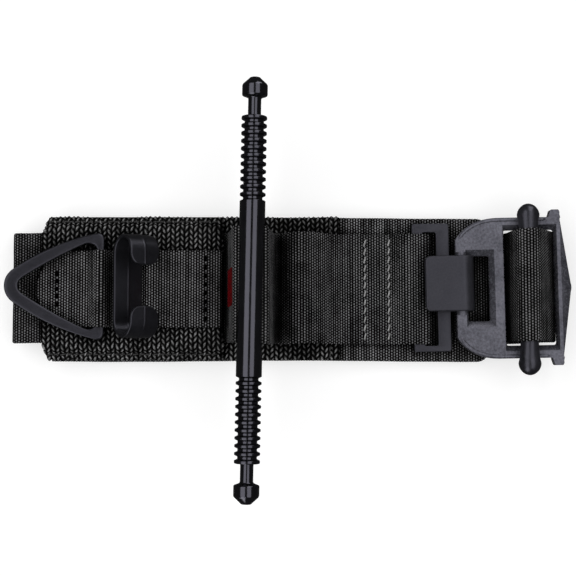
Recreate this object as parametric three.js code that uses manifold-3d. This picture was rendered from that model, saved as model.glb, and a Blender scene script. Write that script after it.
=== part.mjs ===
// A windlass tourniquet, folded flat. Millimetres, +Z up.
// The origin is on the resting plane, on the webbing's centre line, under the windlass's twist axis.
// +X runs along the webbing to the buckle, and +Y runs across it.
import * as THREE from "three";
import { mergeVertices } from "three/addons/utils/BufferGeometryUtils.js";
import Module from "manifold-3d";

const wasm = await Module();
wasm.setup();

const degrees = Math.PI / 180;

// ---------------------------------------------------------------- webbing

const layerGap = 0.15;          // air between two stacked layers
const strapWidth = 37.5;
const strapThickness = 1.4;
const padHalfWidth = 24.5;
const padThickness = 1.5;
const coarseHalfWidth = 24.35;  // the coarse backing and sleeve webbing
const coarseThickness = 1.9;
const keeperWidth = 26;
const keeperThickness = 1.2;

// Heights of the stack, from the resting plane up. A strap's height is that of its middle.
const freeEndLow = strapThickness / 2;
const freeEndHigh = freeEndLow + strapThickness + layerGap;
const underRun = freeEndHigh + strapThickness + layerGap;
const padBottom = underRun + strapThickness / 2 + layerGap;
const padTop = padBottom + padThickness;
const backingBottom = padTop + layerGap;
const backingTop = backingBottom + coarseThickness;
const innerRun = backingTop + layerGap + strapThickness / 2;
const sleeveTop = innerRun + strapThickness / 2 + layerGap + coarseThickness;
const keeperRun = sleeveTop + layerGap + keeperThickness / 2;

// How far each layer lies to one side of the centre line.
const padShift = 0.25;
const coarseShift = 0.5;
const runningShift = 0.7;
const hookShift = 0.2;
const wrapShift = 1.05;

// Lengthwise places of the webbing.
const strapFoldLeft = -81.7;
const padEnds = [-68.6, 80.1];
const padCornerRadius = 4;
const backingEnds = [-70.1, 29.3];
const sleeveEnds = [-71.4, -9.9];
const sleeveCreaseY = 19.8;     // where the sleeve steps down on to the backing
const sleeveStepWidth = 1.2;
const keeperEnds = [-72.3, -10.3];
const keeperRoundLength = 11;   // the keeper's left end is an ellipse this long
const ringRiseSpan = 4.1;       // half the length of the keeper's rise over the ring's pin
const clipRiseSpan = 3.3;       // and over the clip's pin
const ringPinGap = 0.4;
const clipPinGap = 0.2;
const freeEndFoldX = -62;
const freeEndTipX = 52;

// ---------------------------------------------------------------- windlass

const rodHeight = 35.4;           // of the rod's axis
const rodSlip = -1.3;           // how far the rod has slid along its slot, along Y
const rodYaw = -1.13 * degrees;
const rodLength = 135.3;
const rodRadius = 4.1;
const rodTipRadius = 1.8;
const rodNeckRadius = 2.1;
const rodTipCone = 2.5;
const rodHeadLength = 3.45;
const rodHeadChamfer = 0.8;
const rodNeckLength = 5.9;
const rodRingCount = 11;
const rodRingPitch = 2.45;
const rodGrooveDepth = 1;
const rodGrooveShoulder = 0.3;  // half the slope between a land and its groove
const rodSlotLength = 40.5;
const rodSlotHeight = 3;
const loopLegX = 5.15;          // the strap's legs beside the rod
const loopBendRadius = 1.8;
const loopDrop = 5;             // how far the turning part of the strap hangs below the axis
const loopSplit = 0.5;          // gap between the turning part and the fixed legs

// ---------------------------------------------------------------- left hardware

const ringPivot = [-50.9, 0.8, 13.45];
const ringTilt = 8.8 * degrees; // it lies on the keeper, so its tip is raised
// One half of each outline, from the tip round to the hinge side. Every entry is a curve's
// control points followed by its end: the nose, the flank that swells outwards, and the corner.
const ringOuter = {
  tip: -31.6,
  nose: [[-31.6, 3], [-29.9, 4.7], [-28.4, 5.75]],
  flank: [[-16.2, 14.3], [-1.8, 17.7]],
  corner: [[1.1, 18.2], [1.1, 15.2]],
};
const ringInner = {
  tip: -27,
  nose: [[-27, 1.6], [-26.4, 2.7], [-25.2, 3.6]],
  flank: [[-13.4, 11.85], [-4.8, 14]],
  corner: [[-1.1, 15], [-1.1, 13.9]],
};
const ringPinSize = 2.2;        // the hinge side, round enough to turn under the keeper
const ringBevel = 0.6;

const clipPivot = [-39.5, 0.3, 12.7];
const clipLean = 38 * degrees;
const clipBandWidth = 10.8;
const clipHalfWidth = 17;
const clipHeight = 12;
const clipThickness = 1.3;
const clipMouthHalf = 6.55;
const clipLift = 2.35;          // from the pivot up to the underside of its floor
const clipOverhang = 0.8;       // of the floor past the pivot
const clipPinRadius = 0.75;
const clipLugY = [13.5, 15.1];

// ---------------------------------------------------------------- hook and buckle

const plateThickness = 1.8;
const plateBottom = backingBottom + strapThickness + layerGap;
const plateMiddle = plateBottom + plateThickness / 2;
const hardwareYaw = 1.1 * degrees;  // the hook plate and the buckle lie slightly askew
const plateX = [54.1, 66.6];
const plateY = [-20.8, 22.6];
const plateSlotX = [57.6, 62.2];
const plateSlotY = [-18.8, 19.6];
const tongueY = [-7.5, 11.1];
const tongueEndX = 57.5;
const tongueCornerRadius = 1.8;

const buckleX = 70.2;           // the axis of the front bar, and of the hook's bend
const buckleZ = plateMiddle + 3.2;
const buckleThickness = 3.6;
const frontBarHalf = 2;
const frontPinRadius = 1.9;
const frontHalfLength = 16.35;
const shoulderX = 12.6;         // the D curve ends here, from the front bar's axis
const railOuterY = 23.6;
const windowX = [14.3, 31.7];
const windowHalf = 20.9;
const slotX = [2, 9.6];
const slotHalf = 12.75;
const earX = [29.4, 33.6];
const earY = 26.1;
const endBarX = 33.7;
const apexX = 36.9;

const sliderX = 91.75;
const sliderRadius = 3;
const sliderBulbRadius = 3.45;
const sliderHalfLength = 28.5;
const sliderShift = -0.3;
const sliderShaftHalf = 24.2;
const sliderZ = buckleZ + buckleThickness / 2 + sliderRadius + 0.2;
const wrapBottom = 9.6;

// ---------------------------------------------------------------- thread

const threadWidth = 0.7;
const threadHeight = 0.3;
const threadLift = 0.1;
const foldStitchX = [37.8, 45.9];
const keeperStitchX = [-65.6, -16];
const backingStitchX = 26;
const seamY = 22.4;             // of the sleeve's long seams, from the middle of the coarse webbing
const redTabLength = 14;
const redTabWidth = 13;

// ---------------------------------------------------------------- helpers

const tourniquet = new THREE.Group();

function finish(colour, roughness, metalness) {
  return () => new THREE.MeshStandardMaterial({ color: colour, roughness, metalness });
}
const fineWebbing = finish(0x1c1c1f, 0.95, 0);
const coarseWebbing = finish(0x222225, 0.97, 0);
const blackThread = finish(0x3a3a3c, 0.9, 0);
const redCloth = finish(0x8e1418, 0.9, 0);
const blackAlloy = finish(0x17181b, 0.22, 0.9);
const blackSteel = finish(0x33343c, 0.5, 0.6);
const blackPlastic = finish(0x2b2c33, 0.45, 0);

function piece(name, geometry, material, place = [0, 0, 0]) {
  const mesh = new THREE.Mesh(geometry, material());
  mesh.name = name;
  mesh.position.set(...place);
  tourniquet.add(mesh);
  return mesh;
}

function solidOf(geometry) {
  const bare = geometry.clone();
  bare.deleteAttribute("normal");
  bare.deleteAttribute("uv");
  const merged = mergeVertices(bare, 1e-5);
  const vertProperties = new Float32Array(merged.attributes.position.array);
  const triVerts = new Uint32Array(merged.index.array);
  return new wasm.Manifold(new wasm.Mesh({ numProp: 3, vertProperties, triVerts }));
}

function geometryOf(solid) {
  const mesh = solid.getMesh();
  const geometry = new THREE.BufferGeometry();
  geometry.setAttribute("position", new THREE.BufferAttribute(mesh.vertProperties, 3));
  geometry.setIndex(new THREE.BufferAttribute(mesh.triVerts, 1));
  return geometry;
}

// A plan outline pushed up from its bottom face.
function plate(shape, bottom, thickness, curveSegments = 8) {
  const geometry = new THREE.ExtrudeGeometry(shape, {
    depth: thickness, bevelEnabled: false, curveSegments,
  });
  return geometry.translate(0, 0, bottom);
}

function rectangle(x, y, Shape = THREE.Shape) {
  return new Shape([
    new THREE.Vector2(x[0], y[0]), new THREE.Vector2(x[1], y[0]),
    new THREE.Vector2(x[1], y[1]), new THREE.Vector2(x[0], y[1]),
  ]);
}

function box(x, y, z) {
  return plate(rectangle(x, y), z[0], z[1] - z[0]);
}

// The outline of a band of even thickness along a line of points.
function bandShape(line, thickness) {
  const steps = line.slice(1).map((point, i) => point.clone().sub(line[i]).normalize());
  const offsets = line.map((point, i) => {
    const before = steps[Math.max(i - 1, 0)];
    const after = steps[Math.min(i, steps.length - 1)];
    const along = before.clone().add(after).normalize();
    const reach = thickness / 2 / along.dot(after);
    return new THREE.Vector2(-along.y, along.x).multiplyScalar(reach);
  });
  const upper = line.map((point, i) => point.clone().add(offsets[i]));
  const lower = line.map((point, i) => point.clone().sub(offsets[i]));
  return new THREE.Shape([...upper, ...lower.reverse()]);
}

// A shape drawn in X and Z, pushed along Y.
function acrossY(shape, width, middle) {
  const geometry = new THREE.ExtrudeGeometry(shape, { depth: width, bevelEnabled: false });
  return geometry.rotateX(Math.PI / 2).translate(0, width / 2 + middle, 0);
}

// A shape drawn in Y and Z, pushed along X.
function alongX(shape, ends) {
  const geometry = new THREE.ExtrudeGeometry(shape, {
    depth: ends[1] - ends[0], bevelEnabled: false,
  });
  const turn = new THREE.Matrix4().makeBasis(
    new THREE.Vector3(0, 1, 0), new THREE.Vector3(0, 0, 1), new THREE.Vector3(1, 0, 0),
  );
  return geometry.applyMatrix4(turn).translate(ends[0], 0, 0);
}

function strap(path, middle = 0) {
  return acrossY(bandShape(path.getPoints(8), strapThickness), strapWidth, middle);
}

// ---------------------------------------------------------------- windlass

function rodProfile() {
  const half = rodLength / 2;
  const points = [[0, half], [rodTipRadius, half], [rodRadius, half - rodTipCone]];
  const headEnd = half - rodTipCone - rodHeadLength;
  points.push([rodRadius, headEnd], [rodNeckRadius, headEnd - rodHeadChamfer]);
  const ringStart = headEnd - rodHeadChamfer - rodNeckLength;
  points.push([rodNeckRadius, ringStart], [rodRadius, ringStart]);
  const grooveRadius = rodRadius - rodGrooveDepth;
  for (let ring = 1; ring <= rodRingCount; ring += 1) {
    const groove = ringStart - ring * rodRingPitch + rodRingPitch / 4;
    const halfLand = rodRingPitch / 4;
    points.push([rodRadius, groove + halfLand + rodGrooveShoulder]);
    points.push([grooveRadius, groove + halfLand - rodGrooveShoulder]);
    points.push([grooveRadius, groove - halfLand + rodGrooveShoulder]);
    points.push([rodRadius, groove - halfLand - rodGrooveShoulder]);
  }
  const mirrored = points.map(([radius, along]) => [radius, -along]).reverse();
  return [...points, ...mirrored].reverse().map(([radius, along]) => new THREE.Vector2(radius, along));
}

function windlassRod() {
  const turned = solidOf(new THREE.LatheGeometry(rodProfile(), 16));
  const slot = solidOf(box(
    [-rodRadius - 1, rodRadius + 1],
    [-rodSlotLength / 2, rodSlotLength / 2],
    [-rodSlotHeight / 2, rodSlotHeight / 2],
  ));
  const rod = piece("windlass_rod", geometryOf(turned.subtract(slot)), blackAlloy,
    [0, rodSlip, rodHeight]);
  rod.rotation.z = rodYaw;
}

// The short length of strap that goes through the rod's slot and turns with it.
function windlassLoop() {
  const bendX = loopLegX - loopBendRadius;
  const bendZ = rodHeight - loopBendRadius;
  const path = new THREE.Path();
  path.moveTo(loopLegX, rodHeight - loopDrop);
  path.lineTo(loopLegX, bendZ);
  path.absarc(bendX, bendZ, loopBendRadius, 0, Math.PI / 2, false);
  path.absarc(-bendX, bendZ, loopBendRadius, Math.PI / 2, Math.PI, false);
  path.lineTo(-loopLegX, rodHeight - loopDrop);
  piece("windlass_strap_loop", strap(path), fineWebbing);
}

const legTop = rodHeight - loopDrop - loopSplit;

// ---------------------------------------------------------------- straps

// From the windlass down, over the hump, to the fold sewn round the hook plate.
function hookStrap() {
  const flat = backingBottom + strapThickness * 1.5 + layerGap;
  const overPlate = plateBottom + plateThickness + layerGap + strapThickness / 2;
  const foldRadius = overPlate - plateMiddle;
  const foldX = 60 - foldRadius - strapThickness / 2;
  const path = new THREE.Path();
  path.moveTo(loopLegX, legTop);
  path.lineTo(6.4, 14);
  path.bezierCurveTo(6.6, 11.6, 7, 9.9, 8.1, 9.9);
  path.bezierCurveTo(9.8, 9.9, 11.2, 16, 15.8, 16);
  path.bezierCurveTo(21.4, 16, 25, flat, 32, flat);
  path.lineTo(foldStitchX[1] + 1, flat);
  path.bezierCurveTo(49.6, flat, 50.2, overPlate, 53, overPlate);
  path.lineTo(foldX, overPlate);
  path.absarc(foldX, plateMiddle, foldRadius, Math.PI / 2, -Math.PI / 2, true);
  path.lineTo(34.2, backingBottom + strapThickness / 2);
  piece("hook_strap", strap(path, hookShift), fineWebbing);
}

// From the windlass down into the sleeve, round the left fold, back under, and up into the buckle.
function runningStrap() {
  const foldRadius = (innerRun - underRun) / 2;
  const foldX = strapFoldLeft + foldRadius + strapThickness / 2;
  const path = new THREE.Path();
  path.moveTo(-loopLegX, legTop);
  path.lineTo(-7.4, 13.4);
  path.bezierCurveTo(-7.6, 10.8, -8.2, innerRun, -10, innerRun);
  path.lineTo(foldX, innerRun);
  path.absarc(foldX, (innerRun + underRun) / 2, foldRadius, Math.PI / 2, Math.PI * 1.5, false);
  path.lineTo(80, underRun);
  path.bezierCurveTo(84.6, underRun, 87.4, 5.2, 87.8, 9.1);
  piece("running_strap", strap(path, runningShift), fineWebbing);
}

// Over the slider bar, in the buckle's window.
function buckleWrap() {
  const radius = sliderRadius + layerGap + strapThickness / 2;
  const path = new THREE.Path();
  path.moveTo(sliderX - radius, wrapBottom);
  path.lineTo(sliderX - radius, sliderZ);
  path.absarc(sliderX, sliderZ, radius, Math.PI, 0, true);
  path.lineTo(sliderX + radius, wrapBottom);
  piece("buckle_strap_wrap", strap(path, wrapShift), fineWebbing);
}

// Down from the buckle, left under everything, and folded back once.
function freeEnd() {
  const foldRadius = (freeEndHigh - freeEndLow) / 2;
  const path = new THREE.Path();
  path.moveTo(95.8, 9.1);
  path.bezierCurveTo(96, 4.4, 93.6, freeEndHigh, 88, freeEndHigh);
  path.lineTo(freeEndFoldX, freeEndHigh);
  path.absarc(freeEndFoldX, (freeEndHigh + freeEndLow) / 2, foldRadius,
    Math.PI / 2, Math.PI * 1.5, false);
  path.lineTo(freeEndTipX, freeEndLow);
  piece("free_end_strap", strap(path), fineWebbing);
}

// ---------------------------------------------------------------- flat layers

function basePad() {
  const [left, right] = padEnds;
  const shape = new THREE.Shape();
  shape.moveTo(left, -padHalfWidth);
  shape.lineTo(right - padCornerRadius, -padHalfWidth);
  shape.absarc(right - padCornerRadius, padCornerRadius - padHalfWidth, padCornerRadius,
    -Math.PI / 2, 0, false);
  shape.absarc(right - padCornerRadius, padHalfWidth - padCornerRadius, padCornerRadius,
    0, Math.PI / 2, false);
  shape.lineTo(left, padHalfWidth);
  piece("base_pad", plate(shape, padBottom, padThickness), fineWebbing, [0, padShift, 0]);
}

function backing() {
  const shape = rectangle(backingEnds, [-coarseHalfWidth, coarseHalfWidth]);
  const geometry = plate(shape, backingBottom, coarseThickness);
  piece("backing_webbing", geometry, coarseWebbing, [0, coarseShift, 0]);
}

function sleeve() {
  const low = backingTop + layerGap + coarseThickness / 2;
  const high = sleeveTop - coarseThickness / 2;
  const right = [
    [sleeveCreaseY, high], [sleeveCreaseY + sleeveStepWidth, low], [coarseHalfWidth, low],
  ];
  const left = right.map(([y, z]) => [-y, z]).reverse();
  const line = [...left, ...right].map(([y, z]) => new THREE.Vector2(y, z));
  const geometry = alongX(bandShape(line, coarseThickness), sleeveEnds);
  piece("sleeve_webbing", geometry, coarseWebbing, [0, coarseShift, 0]);
}

// The keeper is flat, with one rise over the ring's pin and one over the clip's pin.
function keeper() {
  const rise = (x, middle, halfSpan) => {
    const away = Math.min(Math.abs(x - middle) / halfSpan, 1);
    return Math.cos(away * Math.PI / 2) ** 2;
  };
  const ringTop = ringPivot[2] + ringPinSize / 2 + ringPinGap;
  const clipTop = clipPivot[2] + clipPinRadius + clipPinGap;
  const ringRise = ringTop + keeperThickness / 2 - keeperRun;
  const clipRise = clipTop + keeperThickness / 2 - keeperRun;
  const line = [];
  const add = (x) => {
    const ring = ringRise * rise(x, ringPivot[0], ringRiseSpan);
    const clip = clipRise * rise(x, clipPivot[0], clipRiseSpan);
    line.push(new THREE.Vector2(x, keeperRun + ring + clip));
  };
  add(keeperEnds[0]);
  const step = ringRiseSpan / 7;
  for (let x = ringPivot[0] - ringRiseSpan; x < clipPivot[0] + clipRiseSpan + step; x += step) add(x);
  add(keeperEnds[1]);
  const band = solidOf(acrossY(bandShape(line, keeperThickness), keeperWidth, 0));
  const half = keeperWidth / 2;
  const plan = new THREE.Shape();
  plan.absellipse(keeperEnds[0] + keeperRoundLength, 0, keeperRoundLength, half + 0.1,
    Math.PI / 2, Math.PI * 1.5, false);
  plan.lineTo(keeperEnds[1] + 1, -half - 0.1);
  plan.lineTo(keeperEnds[1] + 1, half + 0.1);
  const cut = band.intersect(solidOf(plate(plan, 0, sleeveTop + 10, 12)));
  piece("keeper_strap", geometryOf(cut), fineWebbing);
}

// ---------------------------------------------------------------- left hardware

// A rounded triangle with its tip on the X axis.
function ringOutline({ tip, nose, flank, corner }, Shape) {
  const mirrored = (points) => points.map(([x, y]) => [x, -y]).flat();
  const shape = new Shape();
  shape.moveTo(tip, 0);
  shape.bezierCurveTo(...mirrored(nose));
  shape.quadraticCurveTo(...mirrored(flank));
  shape.quadraticCurveTo(...mirrored(corner));
  shape.lineTo(...corner[1]);
  shape.quadraticCurveTo(...corner[0], ...flank[1]);
  shape.quadraticCurveTo(...flank[0], ...nose[2]);
  shape.bezierCurveTo(...nose[1], ...nose[0], tip, 0);
  return shape;
}

function triRing() {
  const outer = ringOutline(ringOuter, THREE.Shape);
  outer.holes.push(ringOutline(ringInner, THREE.Path));
  const geometry = new THREE.ExtrudeGeometry(outer, {
    depth: ringPinSize - ringBevel * 2, curveSegments: 5,
    bevelThickness: ringBevel, bevelSize: ringBevel, bevelOffset: -ringBevel, bevelSegments: 1,
  });
  geometry.translate(0, 0, ringBevel - ringPinSize / 2);
  const ring = piece("tri_ring", geometry, blackPlastic, ringPivot);
  ring.rotation.y = ringTilt;
}

function windlassClip() {
  const bendRadius = (clipHeight - clipThickness) / 2;
  const bendY = clipHalfWidth - clipThickness / 2 - bendRadius;
  const middle = clipLift + clipHeight / 2;
  const path = new THREE.Path();
  path.moveTo(clipMouthHalf, middle + bendRadius);
  path.lineTo(bendY, middle + bendRadius);
  path.absarc(bendY, middle, bendRadius, Math.PI / 2, -Math.PI / 2, true);
  path.absarc(-bendY, middle, bendRadius, Math.PI * 1.5, Math.PI / 2, true);
  path.lineTo(-clipMouthHalf, middle + bendRadius);
  const ends = [clipOverhang - clipBandWidth, clipOverhang];
  let solid = solidOf(alongX(bandShape(path.getPoints(5), clipThickness), ends));
  for (const side of [-1, 1]) {
    const lug = clipLugY.map((y) => y * side).sort((a, b) => a - b);
    const reach = [-clipPinRadius, clipPinRadius];
    solid = solid.add(solidOf(box(reach, lug, [0, clipLift + clipThickness])));
  }
  const pin = new THREE.CylinderGeometry(clipPinRadius, clipPinRadius, clipLugY[1] * 2, 12);
  solid = solid.add(solidOf(pin));
  const clip = piece("windlass_clip", geometryOf(solid), blackPlastic, clipPivot);
  clip.rotation.y = clipLean;
}

// ---------------------------------------------------------------- hook and buckle

function hookPlate() {
  const fromAxis = (x) => x - buckleX;
  const shape = rectangle(plateX.map(fromAxis), plateY);
  shape.holes.push(rectangle(plateSlotX.map(fromAxis), plateSlotY, THREE.Path));
  const flat = solidOf(plate(shape, plateBottom, plateThickness));
  const endX = fromAxis(tongueEndX);
  const path = new THREE.Path();
  path.moveTo(fromAxis(plateX[1]) - 3, plateMiddle);
  path.lineTo(0, plateMiddle);
  path.absarc(0, buckleZ, buckleZ - plateMiddle, -Math.PI / 2, Math.PI / 2, false);
  path.lineTo(endX, buckleZ * 2 - plateMiddle);
  const middle = (tongueY[0] + tongueY[1]) / 2;
  const bend = solidOf(acrossY(
    bandShape(path.getPoints(8), plateThickness), tongueY[1] - tongueY[0], middle,
  ));
  const radius = tongueCornerRadius;
  const plan = new THREE.Shape();
  plan.moveTo(-endX, tongueY[0] - 1);
  plan.lineTo(-endX, tongueY[1] + 1);
  plan.lineTo(endX + radius, tongueY[1] + 0.01);
  plan.absarc(endX + radius, tongueY[1] - radius, radius, Math.PI / 2, Math.PI, false);
  plan.absarc(endX + radius, tongueY[0] + radius, radius, Math.PI, Math.PI * 1.5, false);
  const tongue = bend.intersect(solidOf(plate(plan, 0, buckleZ * 2, 4)));
  const hook = piece("hook_plate", geometryOf(flat.add(tongue)), blackSteel, [buckleX, 0, 0]);
  hook.rotation.z = hardwareYaw;
}

function buckleFrame() {
  const outline = new THREE.Shape();
  outline.moveTo(-frontBarHalf, -frontHalfLength);
  outline.quadraticCurveTo(2.4, -railOuterY, shoulderX, -railOuterY);
  outline.lineTo(earX[0], -railOuterY);
  outline.lineTo(earX[0] + 0.8, -earY);
  outline.lineTo(earX[1] - 0.6, -earY);
  outline.lineTo(endBarX, -railOuterY + 0.4);
  outline.lineTo(apexX, 0);
  outline.lineTo(endBarX, railOuterY - 0.4);
  outline.lineTo(earX[1] - 0.6, earY);
  outline.lineTo(earX[0] + 0.8, earY);
  outline.lineTo(earX[0], railOuterY);
  outline.lineTo(shoulderX, railOuterY);
  outline.quadraticCurveTo(2.4, railOuterY, -frontBarHalf, frontHalfLength);
  outline.holes.push(rectangle(windowX, [-windowHalf, windowHalf], THREE.Path));
  outline.holes.push(rectangle(slotX, [-slotHalf, slotHalf], THREE.Path));
  const flat = solidOf(plate(outline, -buckleThickness / 2, buckleThickness));
  // Inside the hook the front bar is a round pin, so that the frame can swing.
  const pinY = [tongueY[0] - 1.2, tongueY[1] + 1.2];
  const reach = frontBarHalf + 0.01;
  const relief = solidOf(box([-reach, reach], pinY, [-buckleThickness, buckleThickness]));
  const pinLength = pinY[1] - pinY[0] + 1;
  const pin = new THREE.CylinderGeometry(frontPinRadius, frontPinRadius, pinLength, 20);
  const solid = flat.subtract(relief).add(solidOf(pin.translate(0, (pinY[0] + pinY[1]) / 2, 0)));
  const frame = piece("buckle_frame", geometryOf(solid), blackSteel, [buckleX, 0, buckleZ]);
  frame.rotation.z = hardwareYaw;
}

function sliderBar() {
  const bulbLength = sliderHalfLength - sliderShaftHalf;
  const middle = sliderShaftHalf + bulbLength - sliderBulbRadius;
  const half = [];
  for (const turn of [0, 18, 36, 54, 72, 90]) {
    const angle = turn * degrees;
    half.push([sliderBulbRadius * Math.sin(angle), middle + sliderBulbRadius * Math.cos(angle)]);
  }
  half.push([sliderRadius, sliderShaftHalf]);
  const whole = [...half, ...half.map(([radius, along]) => [radius, -along]).reverse()];
  const profile = whole.reverse().map(([radius, along]) => new THREE.Vector2(radius, along));
  const bar = new THREE.LatheGeometry(profile, 20);
  piece("slider_bar", bar, blackSteel, [sliderX, sliderShift, sliderZ]);
}

// ---------------------------------------------------------------- thread

function stitchRowAcross(name, x, surface, halfLength) {
  const bottom = surface + threadLift;
  const reach = threadWidth / 2;
  const row = box([x - reach, x + reach], [-halfLength, halfLength], [bottom, bottom + threadHeight]);
  piece(name, row, blackThread);
}

function stitches() {
  const foldSurface = backingBottom + strapThickness * 2 + layerGap;
  stitchRowAcross("fold_stitch_left", foldStitchX[0], foldSurface, strapWidth / 2 - 1.5);
  stitchRowAcross("fold_stitch_right", foldStitchX[1], foldSurface, strapWidth / 2 - 1.5);
  const keeperSurface = keeperRun + keeperThickness / 2;
  stitchRowAcross("keeper_stitch_left", keeperStitchX[0], keeperSurface, keeperWidth / 2 - 4);
  stitchRowAcross("keeper_stitch_right", keeperStitchX[1], keeperSurface, keeperWidth / 2 - 1.5);
  stitchRowAcross("backing_end_stitch", backingStitchX, backingTop, coarseHalfWidth - 1);
  const surface = backingTop + layerGap + coarseThickness + threadLift;
  const length = [sleeveEnds[0] + 2, sleeveEnds[1] - 2];
  for (const [name, side] of [["sleeve_seam_upper", 1], ["sleeve_seam_lower", -1]]) {
    const middle = coarseShift + side * seamY;
    const y = [middle - threadWidth / 2, middle + threadWidth / 2];
    piece(name, box(length, y, [surface, surface + threadHeight]), blackThread);
  }
}

// A plain red tab sewn to the left leg of the strap, under the rod.
function redTab() {
  const away = strapThickness / 2 + 0.1 + threadHeight / 2;
  const low = new THREE.Vector2(-7.4, 13.4);
  const high = new THREE.Vector2(-loopLegX, legTop);
  const along = high.clone().sub(low).normalize();
  const out = new THREE.Vector2(-along.y, along.x).multiplyScalar(away);
  const start = low.clone().add(out);
  const end = start.clone().addScaledVector(along, redTabLength);
  const shape = bandShape([start, end], threadHeight);
  piece("red_tab", acrossY(shape, redTabWidth, 0), redCloth);
}

windlassRod();
windlassLoop();
hookStrap();
runningStrap();
buckleWrap();
freeEnd();
basePad();
backing();
sleeve();
keeper();
triRing();
windlassClip();
hookPlate();
buckleFrame();
sliderBar();
stitches();
redTab();

export default tourniquet;
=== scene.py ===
import math

import bmesh
import bpy
import numpy as np
from mathutils import Matrix, Vector, noise


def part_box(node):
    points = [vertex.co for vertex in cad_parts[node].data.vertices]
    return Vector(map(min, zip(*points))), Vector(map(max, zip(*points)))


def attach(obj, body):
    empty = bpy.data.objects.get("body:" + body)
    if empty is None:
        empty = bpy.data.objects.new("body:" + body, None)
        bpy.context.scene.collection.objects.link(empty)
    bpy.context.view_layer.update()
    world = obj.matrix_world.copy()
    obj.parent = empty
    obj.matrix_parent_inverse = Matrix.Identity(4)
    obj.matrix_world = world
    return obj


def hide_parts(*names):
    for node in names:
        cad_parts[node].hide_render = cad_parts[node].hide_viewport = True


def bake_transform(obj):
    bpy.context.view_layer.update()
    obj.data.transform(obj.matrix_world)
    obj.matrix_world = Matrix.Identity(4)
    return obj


# A windlass tourniquet, folded flat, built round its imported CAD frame.
# Lengths in this script are millimetres in the frame's axes, and become metres as a mesh is made.

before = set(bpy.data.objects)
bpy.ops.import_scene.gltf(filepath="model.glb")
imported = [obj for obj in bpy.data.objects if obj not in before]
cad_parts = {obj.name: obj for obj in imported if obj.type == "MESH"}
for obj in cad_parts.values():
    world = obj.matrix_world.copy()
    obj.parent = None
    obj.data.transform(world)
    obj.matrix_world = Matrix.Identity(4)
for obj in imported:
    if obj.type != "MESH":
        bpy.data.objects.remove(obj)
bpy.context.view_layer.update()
MM = 0.001


def span(node):
    """The lowest and highest corner of a CAD node, in millimetres."""
    low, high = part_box(node)
    return np.array(low) / MM, np.array(high) / MM


def middle(node):
    low, high = span(node)
    return (low + high) / 2


# ---- shader building

class Signal:
    """A number that nodes compute at each shaded point, so that patterns can be written as sums."""

    def __init__(self, shader, socket):
        self.shader = shader
        self.socket = socket

    def math(self, operation, *others):
        node = self.shader.node("ShaderNodeMath", operation=operation)
        for i, item in enumerate((self, *others)):
            self.shader.feed(node.inputs[i], item)
        return Signal(self.shader, node.outputs[0])

    def __add__(self, other):
        return self.math("ADD", other)

    def __mul__(self, other):
        return self.math("MULTIPLY", other)

    def wave(self):
        """One hump, from 0 up to 1 and back, for each whole number."""
        return (self * math.pi).math("SINE").math("ABSOLUTE")


class Shader:
    """A material whose Principled shader is fed by nodes."""

    def __init__(self, name, roughness=0.5, specular=0.5):
        self.material = bpy.data.materials.new(name)
        self.material.use_nodes = True
        self.tree = self.material.node_tree
        self.surface = self.tree.nodes["Principled BSDF"]
        self.set("Roughness", roughness)
        self.set("Specular IOR Level", specular)

    def node(self, kind, **settings):
        made = self.tree.nodes.new(kind)
        for key, value in settings.items():
            setattr(made, key, value)
        return made

    def feed(self, socket, item):
        if isinstance(item, Signal):
            item = item.socket
        if isinstance(item, bpy.types.NodeSocket):
            self.tree.links.new(item, socket)
        else:
            socket.default_value = item

    def set(self, name, item):
        self.feed(self.surface.inputs[name], item)

    def attribute(self, name):
        return self.node("ShaderNodeAttribute", attribute_name=name).outputs["Vector"]

    def value(self, name):
        return Signal(self, self.node("ShaderNodeAttribute", attribute_name=name).outputs["Fac"])

    def place(self):
        """The point's place in the object, in metres."""
        return self.node("ShaderNodeTexCoord").outputs["Object"]

    def split(self, vector):
        node = self.node("ShaderNodeSeparateXYZ")
        self.feed(node.inputs[0], vector)
        return [Signal(self, output) for output in node.outputs]

    def stretched(self, vector, factors):
        node = self.node("ShaderNodeVectorMath", operation="MULTIPLY")
        self.feed(node.inputs[0], vector)
        node.inputs[1].default_value = factors
        return node.outputs[0]

    def noise(self, vector, scale, detail=3.0, roughness=0.6):
        node = self.node("ShaderNodeTexNoise")
        self.feed(node.inputs["Vector"], vector)
        self.feed(node.inputs["Scale"], scale)
        self.feed(node.inputs["Detail"], detail)
        self.feed(node.inputs["Roughness"], roughness)
        return Signal(self, node.outputs["Fac"])

    def range(self, signal, low, high, new_low, new_high):
        node = self.node("ShaderNodeMapRange")
        for name, item in zip(("Value", "From Min", "From Max", "To Min", "To Max"),
                              (signal, low, high, new_low, new_high)):
            self.feed(node.inputs[name], item)
        return Signal(self, node.outputs[0])

    def ramp(self, signal, *stops):
        node = self.node("ShaderNodeValToRGB")
        self.feed(node.inputs[0], signal)
        elements = node.color_ramp.elements
        while len(elements) < len(stops):
            elements.new(0.5)
        for element, (position, colour) in zip(elements, stops):
            element.position = position
            element.color = (*colour, 1.0)
        return node.outputs["Color"]

    def openness(self, distance):
        """How open the surface is to its surroundings: 0 deep in a crevice, 1 in the clear. The webbing
        paints shade into its colour with it.
        """
        node = self.node("ShaderNodeAmbientOcclusion", samples=6)
        self.feed(node.inputs["Distance"], distance * MM)
        return Signal(self, node.outputs["AO"])

    def facing_up(self):
        """1 where the surface faces up or down, and 0 where it is a wall. The webbing paints shade on
        walls with it.
        """
        normal = self.node("ShaderNodeNewGeometry").outputs["True Normal"]
        return self.split(normal)[2].math("ABSOLUTE")

    def bump(self, signal, distance, strength):
        node = self.node("ShaderNodeBump")
        self.feed(node.inputs["Height"], signal)
        self.feed(node.inputs["Distance"], distance)
        self.feed(node.inputs["Strength"], strength)
        self.set("Normal", node.outputs["Normal"])


def grey(level, blue=1.0):
    return (level, level, level * blue)


# ---- materials

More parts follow.
